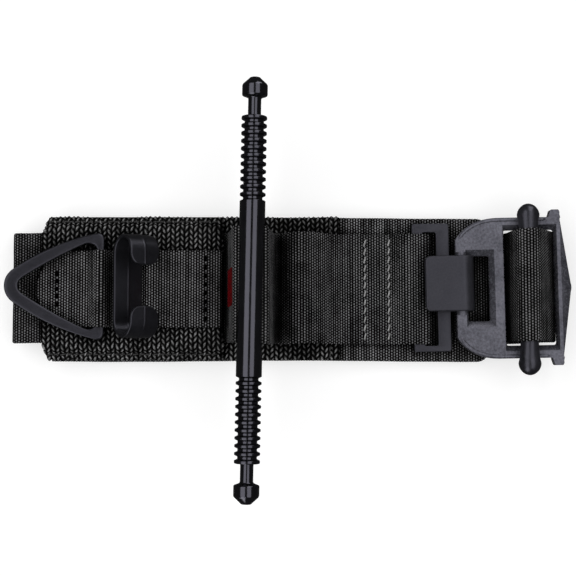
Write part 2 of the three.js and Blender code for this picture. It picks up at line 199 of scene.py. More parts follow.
RIB = 0.9           # pitch of the fine webbing's ribs
BEAD = 0.93         # pitch of the yarn's turns along a rib


def fine_webbing(name, dark, light):
    """Ribs across the strap, each a row of yarn beads that step by half a bead from rib to rib. The
    colour is painted shade between the beads and a painted highlight on their tops, with more painted
    shade in crevices and on walls.
    """
    made = Shader(name)
    weave = made.attribute("weave")
    along, across, _ = made.split(weave)
    rib = along * (1 / RIB)
    bead = across * (1 / BEAD) + rib.math("FLOOR") * 0.5
    # The bead pattern, which paints shade between the beads and a highlight on their tops in the colour
    # below.
    yarn = rib.wave().math("POWER", 1.7) * (bead.wave().math("POWER", 1.4) * 0.82 + 0.18)
    patchy = made.range(made.noise(weave, 0.16, 4.0), 0.3, 0.7, 0.75, 1.15)
    uneven = made.range(made.noise(made.stretched(weave, (1, 0.03, 0)), 0.55, 2.0), 0.3, 0.7, 0.6, 1.25)
    fibre = made.range(made.noise(made.stretched(weave, (1, 4, 1)), 2.4, 2.0), 0.25, 0.75, 0.55, 1.35)
    # Painted shade: the colour darkens where the surface is hemmed in, as in crevices and beside the
    # rod.
    shade = made.range(made.openness(14), 0.3, 0.85, 0.5, 1.1)
    # Painted shade: walls face away from the lamps above, so they are painted darker.
    painted_wall_shade = made.range(made.facing_up(), 0.0, 0.5, 0.5, 1.0)
    tone = yarn * patchy * uneven * fibre * shade * painted_wall_shade
    colour = made.ramp(tone, (0.1, grey(dark)), (0.4, grey(light * 0.1)), (0.85, grey(light, 1.03)))
    made.set("Base Color", colour)
    made.set("Roughness", made.range(tone, 0, 1, 1.0, 0.7))
    made.set("Specular IOR Level", made.range(tone, 0.2, 0.9, 0.0, 0.12))
    made.bump(tone, 0.2 * MM, 0.9)
    return made.material


def coarse_webbing():
    """Thick yarn, with painted shade where it dives and a painted highlight on its crowns, more painted
    shade in crevices, and fine fibres on top.
    """
    made = Shader("coarse_webbing")
    weave = made.attribute("weave")
    # The weave's height paints the colour: shade where the yarn dives and a highlight on its crowns.
    height = made.value("relief")
    fibre = made.noise(made.stretched(weave, (1.6, 0.7, 1)), 3.2, 3.0)
    patchy = made.range(made.noise(weave, 0.12, 4.0), 0.3, 0.7, 0.75, 1.2)
    # Painted shade: the colour darkens where the surface is hemmed in.
    shade = made.range(made.openness(14), 0.3, 0.85, 0.35, 1.08)
    tone = height * patchy * made.range(fibre, 0.3, 0.7, 0.6, 1.3) * shade
    colour = made.ramp(tone, (0.2, grey(0.0008)), (0.5, grey(0.016)), (0.8, grey(0.13)),
                       (1.0, grey(0.3, 1.02)))
    made.set("Base Color", colour)
    made.set("Roughness", made.range(tone, 0, 1, 1.0, 0.7))
    made.set("Specular IOR Level", made.range(tone, 0.3, 1.0, 0.0, 0.2))
    made.bump(fibre * 0.5 + tone, 0.2 * MM, 0.6)
    return made.material


def thread(name, dark, light, specular=0.3):
    """Twisted yarn, lighter on its strands and darker between them."""
    made = Shader(name, specular=specular)
    place = made.place()
    strands = made.noise(made.stretched(place, (1, 0.5, 1)), 3500.0, 3.0)
    colour = made.ramp(strands, (0.3, grey(dark)), (0.7, grey(light)))
    made.set("Base Color", colour)
    made.set("Roughness", made.range(strands, 0.3, 0.7, 0.9, 0.6))
    made.bump(strands, 0.1 * MM, 0.8)
    return made.material


def red_cloth():
    """Red yarn on a black ground, worn thin in patches."""
    made = Shader("red_cloth", roughness=0.9, specular=0.04)
    weave = made.attribute("weave")
    along, across, _ = made.split(weave)
    yarn = (along * (1 / 0.6)).wave() * ((across * (1 / 0.55)).wave() * 0.5 + 0.5)
    worn = made.range(made.noise(weave, 0.9, 4.0), 0.35, 0.6, 0.25, 1.0)
    colour = made.ramp(yarn * worn, (0.08, (0.004, 0.001, 0.001)), (0.4, (0.07, 0.001, 0.002)),
                       (1.0, (0.42, 0.004, 0.008)))
    made.set("Base Color", colour)
    made.bump(yarn, 0.15 * MM, 0.8)
    return made.material


def moulded(name, dark, light, roughness, grain, depth, streaks=(1, 1, 1), blue=1.18,
            specular=0.5):
    """Plastic, paint or anodising: a fine grain in colour, roughness and height, over faint patches.

    streaks stretches the grain along an axis, and depth is its height in millimetres.
    """
    made = Shader(name, specular=specular)
    made.set("Specular Tint", (0.84, 0.83, 1.0, 1.0))
    place = made.place()
    fine = made.noise(made.stretched(place, streaks), grain, 3.0, 0.65)
    broad = made.noise(place, 120.0, 4.0, 0.55)
    tone = fine * 0.55 + broad * 0.45
    colour = made.ramp(tone, (0.32, grey(dark, blue)), (0.68, grey(light, blue)))
    made.set("Base Color", colour)
    made.set("Roughness", made.range(tone, 0.3, 0.7, roughness[0], roughness[1]))
    made.bump(fine, depth * MM, 0.6)
    return made.material


materials = {
    "webbing": fine_webbing("fine_webbing", dark=0.0005, light=0.21),
    "keeper": fine_webbing("keeper_yarn", dark=0.0006, light=0.26),
    "pad": fine_webbing("pad_webbing", dark=0.001, light=0.3),
    "coarse": coarse_webbing(),
    "light_thread": thread("light_thread", dark=0.12, light=0.4),
    "black_thread": thread("black_thread", dark=0.0004, light=0.0015, specular=0.0),
    "seam_thread": thread("seam_thread", dark=0.006, light=0.05),
    "red": red_cloth(),
    "rod": moulded("anodised_alloy", 0.002, 0.005, roughness=(0.1, 0.16), grain=1800.0, depth=0.008,
                   streaks=(1, 0.15, 1), blue=1.1, specular=0.7),
    "plastic": moulded("moulded_plastic", 0.004, 0.009, roughness=(0.26, 0.38), grain=1300.0,
                       depth=0.03, specular=0.4),
    "steel": moulded("painted_steel", 0.01, 0.024, roughness=(0.34, 0.46), grain=1500.0, depth=0.03,
                     specular=0.35),
    "blasted": moulded("blasted_frame", 0.015, 0.14, roughness=(0.36, 0.56), grain=1150.0, depth=0.24),
    # A darker copy of the blasted finish for the buckle's walls and end bar: painted shade where less
    # light falls, and smoother so that the bevels catch sharp highlights.
    "casting": moulded("cast_walls_painted_shade", 0.02, 0.08, roughness=(0.2, 0.34), grain=1150.0, depth=0.08),
    "bar": moulded("worn_bar", 0.005, 0.02, roughness=(0.24, 0.38), grain=900.0, depth=0.04,
                   streaks=(1, 0.12, 1), specular=0.45),
}


# ---- mesh helpers

def linked(name, data):
    """A new object in the scene."""
    made = bpy.data.objects.new(name, data)
    bpy.context.scene.collection.objects.link(made)
    return made


def mesh_object(name, points, faces, material):
    """points are millimetres."""
    mesh = bpy.data.meshes.new(name)
    mesh.from_pydata((np.asarray(points, float) * MM).tolist(), [], faces)
    mesh.materials.append(materials[material])
    mesh.polygons.foreach_set("use_smooth", [True] * len(mesh.polygons))
    mesh.update()
    return linked(name, mesh)


def recalculated(made):
    """The object with all its faces turned outwards."""
    shape = bmesh.new()
    shape.from_mesh(made.data)
    bmesh.ops.recalc_face_normals(shape, faces=shape.faces)
    shape.to_mesh(made.data)
    shape.free()
    return made


def attribute(made, name, kind, values):
    data = made.data.attributes.new(name, kind, "POINT").data
    key = "vector" if kind == "FLOAT_VECTOR" else "value"
    data.foreach_set(key, np.asarray(values, np.float32).ravel())


def stands_for(piece, slot, *nodes, body=None):
    """The finish a piece takes, which is not used; the CAD nodes it stands for, which are hidden; and
    its body, if it has one.
    """
    if body:
        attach(piece, body)
    if nodes:
        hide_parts(*nodes)


def placed(made, spot, degrees, axis):
    """Turns a piece that was drawn round the origin, and carries it to its spot."""
    turn = Matrix.Rotation(math.radians(degrees), 4, axis)
    made.data.transform(Matrix.Translation(Vector(spot) * MM) @ turn)
    made.data.update()
    return made


def circle(count):
    """Angles spread evenly round a circle."""
    return np.linspace(0, 2 * math.pi, count, endpoint=False)


def eased(share):
    """A share from 0 to 1 that starts and ends gently."""
    return share * share * (3 - 2 * share)


def normals(line):
    """The unit normal at each point of a line in a plane."""
    tangent = np.gradient(line, axis=0)
    tangent /= np.linalg.norm(tangent, axis=1)[:, None]
    return np.stack([-tangent[:, 1], tangent[:, 0]], 1)


def travelled(points):
    """The distance of each point from the first, along the line."""
    return np.concatenate([[0], np.cumsum(np.linalg.norm(np.diff(points, axis=0), axis=1))])


def evenly(points, count):
    """That many points at even steps along a line, and their distances from its start."""
    reached = travelled(points)
    keep = np.concatenate([[True], np.diff(reached) > 1e-9])
    distance = np.linspace(0, reached[-1], count)
    even = np.stack([np.interp(distance, reached[keep], points[keep, k]) for k in (0, 1)], 1)
    return even, distance


def at_step(points, step):
    """Even samples of a line, about a step apart, and their distances from its start."""
    return evenly(points, int(round(travelled(points)[-1] / step)) + 1)


def grid_faces(rows, columns, first=0):
    """Quads of a tube of rows, each a closed loop of that many columns."""
    i, j = np.meshgrid(np.arange(rows - 1), np.arange(columns), indexing="ij")
    following = (j + 1) % columns
    quads = np.stack([i * columns + j, (i + 1) * columns + j,
                      (i + 1) * columns + following, i * columns + following], -1)
    return (quads.reshape(-1, 4) + first).tolist()


def tube_faces(rows, columns, first=0):
    """The sides and both end caps of a tube."""
    last = first + (rows - 1) * columns
    caps = [list(range(first, first + columns)), list(range(last, last + columns))[::-1]]
    return grid_faces(rows, columns, first) + caps


def applied(made):
    """The object with its modifiers made real."""
    graph = bpy.context.evaluated_depsgraph_get()
    mesh = bpy.data.meshes.new_from_object(made.evaluated_get(graph))
    made.modifiers.clear()
    made.data = mesh
    return made


def combined(made, others, operation):
    """Joins the other objects to this one or cuts them out of it, and uses them up."""
    for other in others:
        step = made.modifiers.new("combine", "BOOLEAN")
        step.operation = operation
        step.solver = "EXACT"
        step.object = other
    applied(made)
    for other in others:
        bpy.data.objects.remove(other)
    return made


def shade_by_angle(made, degrees):
    """Faces that meet more sharply than this angle keep a crisp edge."""
    shape = bmesh.new()
    shape.from_mesh(made.data)
    bmesh.ops.remove_doubles(shape, verts=shape.verts, dist=0.002 * MM)
    bmesh.ops.recalc_face_normals(shape, faces=shape.faces)
    for face in shape.faces:
        face.smooth = True
    for edge in shape.edges:
        if len(edge.link_faces) == 2:
            edge.smooth = edge.calc_face_angle(0.0) < math.radians(degrees)
    shape.to_mesh(made.data)
    shape.free()
    return made


class Line:
    """A line in a plane, grown from straights, curves and arcs, with named marks along it."""

    step = 0.5          # rough spacing of the points on a straight
    bends = 24          # points on a curve or an arc

    def __init__(self, *start):
        self.points = [np.array(start, float)]
        self.marks = {}

    def mark(self, name):
        self.marks[name] = len(self.points) - 1
        return self

    def to(self, *end):
        start = self.points[-1]
        end = np.array(end, float)
        count = max(2, int(np.linalg.norm(end - start) / self.step))
        self.points += [start + (end - start) * k / count for k in range(1, count + 1)]
        return self

    def curve(self, *numbers):
        """A Bezier curve: the control points, then the end."""
        given = np.array(numbers, float).reshape(-1, 2)
        corners = np.vstack([self.points[-1], given])
        for t in np.linspace(0, 1, self.bends + 1)[1:]:
            level = corners
            while len(level) > 1:
                level = level[:-1] * (1 - t) + level[1:] * t
            self.points.append(level[0])
        return self

    def arc(self, x, z, radius, start, end):
        for degrees in np.linspace(start, end, self.bends + 1)[1:]:
            angle = math.radians(degrees)
            self.points.append(np.array([x + radius * math.cos(angle), z + radius * math.sin(angle)]))
        return self

    def sampled(self, step):
        """Even samples, their distances from the start, and the distance of each mark."""
        points = np.array(self.points)
        reached = travelled(points)
        even, distance = at_step(points, step)
        return even, distance, {name: reached[i] for name, i in self.marks.items()}


SELVEDGE = 6        # samples round each long edge of a band; an even number


def end_taper(distance, radius, rounded):
    """The share of its thickness that a band keeps, falling away at its rounded ends."""
    taper = np.ones(len(distance))
    for near, wanted in zip((distance - distance[0], distance[-1] - distance), rounded):
        if wanted:
            inside = np.clip(near / radius, 0, 1)
            taper *= np.sqrt(np.clip(1 - (1 - inside) ** 2, 0.02, 1))
    return taper[:, None]


def band_end_faces(rows, across):
    """Quads that close a band's two ends, from its upper face to its lower one."""
    columns = 2 * (across + SELVEDGE)
    half = SELVEDGE // 2
    left = np.arange(columns - SELVEDGE, columns)
    right = np.arange(across, across + SELVEDGE)
    bottom = np.arange(across + SELVEDGE, 2 * across + SELVEDGE)
    upper = np.concatenate([left[half:], np.arange(across), right[:half]]).tolist()
    lower = np.concatenate([left[:half][::-1], bottom[::-1], right[half:][::-1]]).tolist()
    last = (rows - 1) * columns
    faces = []
    for quad in zip(upper, upper[1:], lower[1:], lower):
        faces.append(list(quad))
        faces.append([last + corner for corner in quad[::-1]])
    return faces


def band(name, material, line, distance, half_width, thickness, relief, centre=0.0, plane="xz",
         rounded=(True, True), pinch=1.0, *, across):
    """A flat band swept along a line, with round edges and its weave raised on both faces.

    The line lies in the plane, and the band's width runs along the third axis. half_width and
    centre may change along the line. relief(along, across) is the height of the weave, and
    across is how many samples each face has over its width.
    """
    rows = len(line)
    half_width = np.broadcast_to(np.asarray(half_width, float), rows)[:, None]
    centre = np.broadcast_to(np.asarray(centre, float), rows)[:, None]
    radius = thickness / 2
    taper = end_taper(distance, radius, rounded)

    turn = np.linspace(0, math.pi, SELVEDGE + 2)[1:-1]
    flat = np.linspace(-1, 1, across)
    side = np.concatenate([flat, np.ones(SELVEDGE), flat[::-1], -np.ones(SELVEDGE)])
    outwards = np.concatenate([np.zeros(across), np.sin(turn), np.zeros(across), -np.sin(turn)])
    upwards = np.concatenate([np.ones(across), np.cos(turn), -np.ones(across), -np.cos(turn)])
    edge = np.minimum(radius * pinch, half_width * 0.9)
    place = side * (half_width - edge) + outwards * edge * taper
    height = relief(distance[:, None], place + centre)
    rise = (radius * upwards + height * upwards) * taper
    place = place + height * outwards * taper
    in_plane = line[:, None, :] + normals(line)[:, None, :] * rise[..., None]
    third = (place + centre)[..., None]
    if plane == "xz":
        points = np.concatenate([in_plane[..., :1], third, in_plane[..., 1:]], -1)
    else:
        points = np.concatenate([third, in_plane], -1)

    faces = grid_faces(rows, len(side)) + band_end_faces(rows, across)
    made = mesh_object(name, points.reshape(-1, 3), faces, material)
    weave = np.stack([np.broadcast_to(distance[:, None], place.shape), place,
                      np.broadcast_to(upwards, place.shape)], -1)
    attribute(made, "weave", "FLOAT_VECTOR", weave.reshape(-1, 3))
    attribute(made, "relief", "FLOAT", (height / max(height.max(), 1e-6)).ravel())
    return recalculated(made)


def lathe(name, material, profile, centre, segments):
    """(distance along, radius) pairs turned about an axis along Y through the centre."""
    profile = np.array(profile, float)
    turn = circle(segments)
    ring = np.stack([np.cos(turn), np.zeros(segments), np.sin(turn)], 1)
    points = profile[:, 1][:, None, None] * ring[None]
    points[..., 1] += profile[:, 0][:, None]
    points = points.reshape(-1, 3) + centre
    return mesh_object(name, points, tube_faces(len(profile), segments), material)


def both_ends(profile):
    """A lathe profile's half from one end to the middle, carried on to the other end."""
    return profile + [(-along, radius) for along, radius in reversed(profile)]


def plate(name, material, outlines, low, high, round_over):
    """Closed outlines in plan, the first outside and the rest holes, with rounded edges."""
    curve = bpy.data.curves.new(name, "CURVE")
    curve.dimensions = "2D"
    curve.fill_mode = "BOTH"
    curve.extrude = (high - low) / 2 * MM - round_over * MM
    curve.bevel_depth = round_over * MM
    curve.bevel_resolution = 3
    curve.offset = -round_over * MM
    for outline in outlines:
        spline = curve.splines.new("POLY")
        spline.use_cyclic_u = True
        spline.points.add(len(outline) - 1)
        for point, (x, y) in zip(spline.points, outline):
            point.co = (x * MM, y * MM, 0, 1)
    drawn = linked(name, curve)
    graph = bpy.context.evaluated_depsgraph_get()
    mesh = bpy.data.meshes.new_from_object(drawn.evaluated_get(graph))
    bpy.data.objects.remove(drawn)
    mesh.transform(Matrix.Translation((0, 0, (low + high) / 2 * MM)))
    mesh.materials.clear()
    mesh.materials.append(materials[material])
    return shade_by_angle(linked(name, mesh), 40)


def slab(name, material, outline, low, high):
    """A plain closed solid: one outline raised from low to high."""
    count = len(outline)
    points = [(x, y, z) for z in (low, high) for x, y in outline]
    faces = [[k, (k + 1) % count, count + (k + 1) % count, count + k] for k in range(count)]
    faces += [list(range(count))[::-1], list(range(count, 2 * count))]
    return recalculated(mesh_object(name, points, faces, material))


def rounded_edges(made, width):
    """Rounds every edge that turns sharply."""
    bevel = made.modifiers.new("round", "BEVEL")
    bevel.width = width * MM
    bevel.segments = 3
    bevel.limit_method = "ANGLE"
    bevel.angle_limit = math.radians(35)
    return applied(made)


def softened(corners, radii, steps=6):
    """A closed outline with each corner rounded by its own radius, or all by one."""
    corners = [np.array(corner, float) for corner in corners]
    if not isinstance(radii, list):
        radii = [radii] * len(corners)
    points = []
    for i, (corner, radius) in enumerate(zip(corners, radii)):
        before = corners[i - 1] - corner
        after = corners[(i + 1) % len(corners)] - corner
        before /= np.linalg.norm(before)
        after /= np.linalg.norm(after)
        half = math.acos(np.clip(before @ after, -1, 1)) / 2
        reach = radius / math.tan(half)
        start, end = corner + before * reach, corner + after * reach
        for t in np.linspace(0, 1, steps):
            points.append(start * (1 - t) ** 2 + corner * 2 * t * (1 - t) + end * t ** 2)
    return points


def rectangle(x, y):
    return [(x[0], y[0]), (x[1], y[0]), (x[1], y[1]), (x[0], y[1])]


def hull(name, points):
    """The smallest convex solid round some points."""
    shape = bmesh.new()
    for point in points:
        shape.verts.new(Vector(point) * MM)
    bmesh.ops.convex_hull(shape, input=shape.verts)
    loose = [vertex for vertex in shape.verts if not vertex.link_faces]
    bmesh.ops.delete(shape, geom=loose, context="VERTS")
    bmesh.ops.recalc_face_normals(shape, faces=shape.faces)
    mesh = bpy.data.meshes.new(name)
    shape.to_mesh(mesh)
    shape.free()
    return linked(name, mesh)


# ---- weaves

def fine_relief(along, across):
    """Ribs that run across the strap, on a face that drifts up and down a little."""
    ribs = 0.13 * np.sin(math.pi * along / RIB) ** 2
    drift = 0.03 * np.sin(along * 0.31 + across * 0.17) + 0.02 * np.sin(across * 0.53)
    return ribs + drift


COARSE_X = 1.54     # pitch of the coarse webbing's columns
COARSE_Y = 1.85     # pitch of the yarns within a column
COARSE_STEP = 0.29  # spacing of a coarse band's samples along it
YARN_ROOM = 0.85    # taken off a coarse band's core for the yarns that stand on its faces


def coarse_relief(x, y):
    """Columns of slanted yarns that lean one way and then the other, like a herringbone."""
    height, lean_share = 0.62, 0.9
    column = x / COARSE_X
    index = np.floor(column)
    inside = column - index - 0.5
    lean = np.where(index % 2 == 0, lean_share, -lean_share)
    uneven = 0.12 * np.sin(index * 2.4 + y * 0.21)
    yarn = (y / COARSE_Y) + lean * inside + index * 0.5 + uneven
    crown = np.cos(math.pi * inside) ** 0.8
    ridge = np.abs(np.sin(math.pi * yarn)) ** 0.9
    return height * crown * ridge


# ---- the strap

STRAP_HALF = 18.75
STRAP_THICK = 1.4
LAYER_GAP = 0.15
RIB_STEP = RIB / 4          # spacing of a fine band's samples along it

hook_low, hook_high = span("hook_strap")
running_low, _ = span("running_strap")
free_low, _ = span("free_end_strap")
plate_low, _ = span("hook_plate")
pad_low, pad_high = span("base_pad")
backing_low, backing_high = span("backing_webbing")
sleeve_low, sleeve_high = span("sleeve_webbing")
keeper_low, keeper_high = span("keeper_strap")
slider_middle = middle("slider_bar")

half_thick = STRAP_THICK / 2
leg_x = span("windlass_strap_loop")[1][0] - half_thick
rod_z = middle("windlass_rod")[2]
hook_under = hook_low[2] + half_thick
hook_flat = hook_under + STRAP_THICK + LAYER_GAP
plate_thick = 1.8
plate_z = plate_low[2] + plate_thick / 2
over_plate = plate_low[2] + plate_thick + LAYER_GAP + half_thick
hook_fold = over_plate - plate_z
hook_fold_x = hook_high[0] - hook_fold - half_thick
inner_run = backing_high[2] + LAYER_GAP + half_thick
under_run = running_low[2] + half_thick
left_fold = (inner_run - under_run) / 2
left_fold_x = running_low[0] + half_thick + left_fold
free_top = free_low[2] + half_thick + STRAP_THICK + LAYER_GAP
free_fold = (free_top - half_thick) / 2
free_fold_x = free_low[0] + half_thick + free_fold
cut_x = 60                  # where the main strap ends below, and the rise to the buckle begins


def round_hook_plate(line):
    """From the end sewn in below, round the hook plate's bar and down onto the lower layer."""
    step_top_x, step_foot_x = 53, 46.9
    line.to(hook_fold_x, hook_under)
    line.arc(hook_fold_x, plate_z, hook_fold, -90, 90)
    line.to(step_top_x, over_plate)
    line.curve(step_top_x - 2.8, over_plate, step_foot_x + 2.7, hook_flat, step_foot_x, hook_flat)


def over_hump(line):
    """The slack beside the rod: a hump, then a turn upwards at the foot of the rod's strap."""
    hump_start_x, hump_x, hump_z = 32, 15.8, 16
    turn_x, turn_z = 8.1, 9.9
    riser_x, riser_z = 6.4, 14
    line.to(hump_start_x, hook_flat)
    line.curve(hump_start_x - 7, hook_flat, hump_x + 5.6, hump_z, hump_x, hump_z)
    line.curve(hump_x - 4.6, hump_z, turn_x + 1.7, turn_z, turn_x, turn_z)
    line.curve(turn_x - 1.1, turn_z, riser_x + 0.2, riser_z - 2.4, riser_x, riser_z)
    line.mark("hook_riser")


def through_rod(line):
    """Up to the rod, through its slot, down the other side and into the sleeve."""
    upright_z, corner = 30, 1.8
    riser_x, riser_z, inside_x = -7.4, 13.4, -10
    line.to(leg_x, upright_z - 0.1)
    line.to(leg_x, rod_z - corner)
    line.arc(leg_x - corner, rod_z - corner, corner, 0, 90)
    line.to(0, rod_z).mark("rod")
    line.to(corner - leg_x, rod_z)
    line.arc(corner - leg_x, rod_z - corner, corner, 90, 180)
    line.to(-leg_x, upright_z)
    line.to(riser_x, riser_z).mark("sleeve_riser")
    line.curve(riser_x - 0.2, riser_z - 2.6, inside_x + 1.8, inner_run, inside_x, inner_run)


def round_left_fold(line):
    """Along the sleeve, round the left end and back under the base."""
    rise_start_x = 78
    line.to(left_fold_x, inner_run)
    line.arc(left_fold_x, inner_run - left_fold, left_fold, 90, 270)
    line.to(cut_x, under_run).mark("under_cut")
    line.to(rise_start_x, under_run)


def round_slider(line):
    """Up through the buckle's window, over the sliding bar, and down again beside the end bar."""
    foot_x, foot_z = 86.7, 9.2
    radius, left_lean, right_lean = 3.85, 170, 33
    bar_x, _, bar_z = slider_middle
    line.curve(83, under_run, foot_x - 0.7, foot_z / 2, foot_x, foot_z).mark("left_foot")
    start = math.radians(left_lean)
    line.to(bar_x + radius * math.cos(start), bar_z + radius * math.sin(start))
    line.arc(bar_x, bar_z, radius, left_lean, right_lean).mark("bar")
    lean = math.radians(right_lean)
    drop = bar_z + radius * math.sin(lean) - foot_z
    right_x = bar_x + radius * math.cos(lean) + drop * math.tan(lean)
    line.to(right_x, foot_z).mark("right_foot")
    line.curve(right_x + 0.8, 5.4, 98, free_top, 88, free_top)


def fold_free_end(line):
    """Along the underside, folded back once, to the end that rests on the ground."""
    end_x = 52
    line.to(cut_x, free_top).mark("free_cut")
    line.to(free_fold_x, free_top)
    line.arc(free_fold_x, free_top - free_fold, free_fold, 90, 270)
    line.to(end_x, half_thick)


def strap_line():
    """The whole strap as one line, from the hook plate to its free end."""
    sewn_end_x = 34.2
    line = Line(sewn_end_x, hook_under)
    for run in (round_hook_plate, over_hump, through_rod, round_left_fold, round_slider,
                fold_free_end):
        run(line)
    return line


def strap_pieces():
    """The one strap, cut in four: the main run, the rise to the buckle, the wrap over the slider bar
    and the free end.
    """
    line, distance, marks = strap_line().sampled(RIB_STEP)
    shifts = {"hook_riser": 0.2, "rod": 0, "sleeve_riser": 0.7, "under_cut": 0.7,
              "left_foot": 0.85, "bar": 1.05, "right_foot": 0.85, "free_cut": 0}
    centre = np.interp(distance, [marks[place] for place in shifts], list(shifts.values()))
    cuts = [int(np.searchsorted(distance, marks[place]))
            for place in ("under_cut", "left_foot", "right_foot")]
    cuts = [0] + cuts + [len(distance) - 1]
    names = ["main_strap", "buckle_strap_rise", "buckle_strap_wrap_webbing", "free_end_webbing"]
    edge = 0.12 * np.sin(distance * 0.11) + 0.07 * np.sin(distance * 0.37 + 1)
    made = []
    for k, name in enumerate(names):
        part = slice(cuts[k], cuts[k + 1] + 1)
        made.append(band(name, "webbing", line[part], distance[part], STRAP_HALF - 0.15,
                         STRAP_THICK - 0.2, fine_relief, centre[part] + edge[part],
                         rounded=(k == 0, k == 3), across=22))
    main, rise, wrap, free = made
    twist(main)
    lift(rise)
    lift(free)
    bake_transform(wrap)
    stands_for(main, "fine_webbing", "hook_strap", "windlass_strap_loop", "running_strap")
    stands_for(rise, "fine_webbing")
    stands_for(wrap, "fine_webbing", "buckle_strap_wrap")
    stands_for(free, "fine_webbing", "free_end_strap")


def twist(piece):
    """Bakes the placement of fabric at the rod into its mesh."""
    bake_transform(piece)


def lift(piece):
    """Bakes the placement of fabric near the buckle into its mesh."""
    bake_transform(piece)


# ---- flat layers

def base_pad():
    """The long pad: fine webbing with rounded corners at its buckle end."""
    corner = 4.0
    z = (pad_low[2] + pad_high[2]) / 2
    line, distance, _ = Line(pad_low[0], z).to(pad_high[0], z).sampled(RIB_STEP)
    near_end = np.clip((line[:, 0] - pad_high[0] + corner) / corner, 0, 1)
    half = (pad_high[1] - pad_low[1]) / 2 - 0.1
    width = half - corner + corner * np.sqrt(1 - near_end ** 2 * 0.98)
    sway = 0.22 * np.sin(line[:, 0] * 0.055 + 0.8)
    centre = (pad_low[1] + pad_high[1]) / 2 + sway
    pad = band("base_pad_webbing", "pad", line, distance, width, pad_high[2] - pad_low[2] - 0.2,
               fine_relief, centre, across=26)
    lift(pad)
    stands_for(pad, "fine_webbing", "base_pad")


def backing():
    """Coarse webbing on the pad. Its buckle end shows beyond the sleeve."""
    inset = 0.3
    z = (backing_low[2] + backing_high[2]) / 2
    line = Line(backing_low[0] + inset, z).to(backing_high[0], z)
    flat, distance, _ = line.sampled(COARSE_STEP)
    half = (backing_high[1] - backing_low[1]) / 2 - inset
    centre = (backing_high[1] + backing_low[1]) / 2
    wavy = 0.2 * np.sin(distance * 0.21)
    made = band("backing_coarse_webbing", "coarse", flat, distance, half + wavy * 0.4,
                backing_high[2] - backing_low[2] - YARN_ROOM, coarse_relief, centre + wavy * 0.5,
                across=160)
    stands_for(made, "coarse_webbing", "backing_webbing", body="root")


def sleeve():
    """Coarse webbing over the strap, stepping down at a crease near each long edge."""
    thick, crease = 1.9, 19.8
    low_z = sleeve_low[2] + thick / 2
    high_z = sleeve_high[2] - thick / 2
    shift = (sleeve_low[1] + sleeve_high[1]) / 2
    edge = sleeve_high[1] - shift - 0.25
    line = Line(-edge, low_z)
    line.to(-crease - 1.9, low_z)
    line.curve(-crease - 0.9, low_z, -crease - 0.4, high_z, -crease + 0.8, high_z)
    line.to(crease - 0.8, high_z)
    line.curve(crease + 0.4, high_z, crease + 0.9, low_z, crease + 1.9, low_z)
    line.to(edge, low_z)
    flat, distance, _ = line.sampled(COARSE_STEP)
    y = flat[:, 0]
    places = [-23.6, -19.5, -17, 0, 18.5, 20, 22.6, 23.6]
    insets = [2.1, 0.9, 0.3, 0.1, 0.3, 1.4, 1.6, 2.6]
    left = sleeve_low[0] + np.interp(y, places, insets)
    right = sleeve_high[0] - 0.35 + 0.15 * np.sin(y * 0.6)
    made = band("sleeve_coarse_webbing", "coarse", flat + [shift, 0], distance, (right - left) / 2,
                thick - YARN_ROOM, lambda along, x: coarse_relief(x, along),
                (right + left) / 2, plane="yz", across=212)
    stands_for(made, "coarse_webbing", "sleeve_webbing", body="root")


RING_X = -50.9      # the ring's hinge
CLIP_X = -39.5      # the clip's hinge


def keeper():
    """A narrow strap over the sleeve that rises over the ring's bar and the clip's pin."""
    thick, over_pin_z, end_reach = 1.2, 13.65, 11.0
    flat_z = keeper_low[2] + thick / 2
    ring_rise = keeper_high[2] - thick / 2 - flat_z
    clip_rise = over_pin_z + thick / 2 - flat_z
    xs = np.arange(keeper_low[0], keeper_high[0] + 0.01, 0.1)

    def swell(at, half):
        return np.cos(np.clip(np.abs(xs - at) / half, 0, 1) * math.pi / 2) ** 2

    heights = flat_z + ring_rise * swell(RING_X, 4.1) + clip_rise * swell(CLIP_X, 3.3)
    flat, distance = at_step(np.stack([xs, heights], 1), RIB_STEP)
    away = np.clip((keeper_low[0] + end_reach - flat[:, 0]) / end_reach, 0, 1)
    half = (keeper_high[1] - keeper_low[1]) / 2 - 0.1
    width = half * np.sqrt(np.clip(1 - away ** 2, 0.004, 1))
    made = band("keeper_webbing", "keeper", flat, distance, width, thick - 0.16,
                lambda along, across: fine_relief(along, across) * 0.8, across=22)
    stands_for(made, "fine_webbing", "keeper_strap", body="root")


# ---- windlass

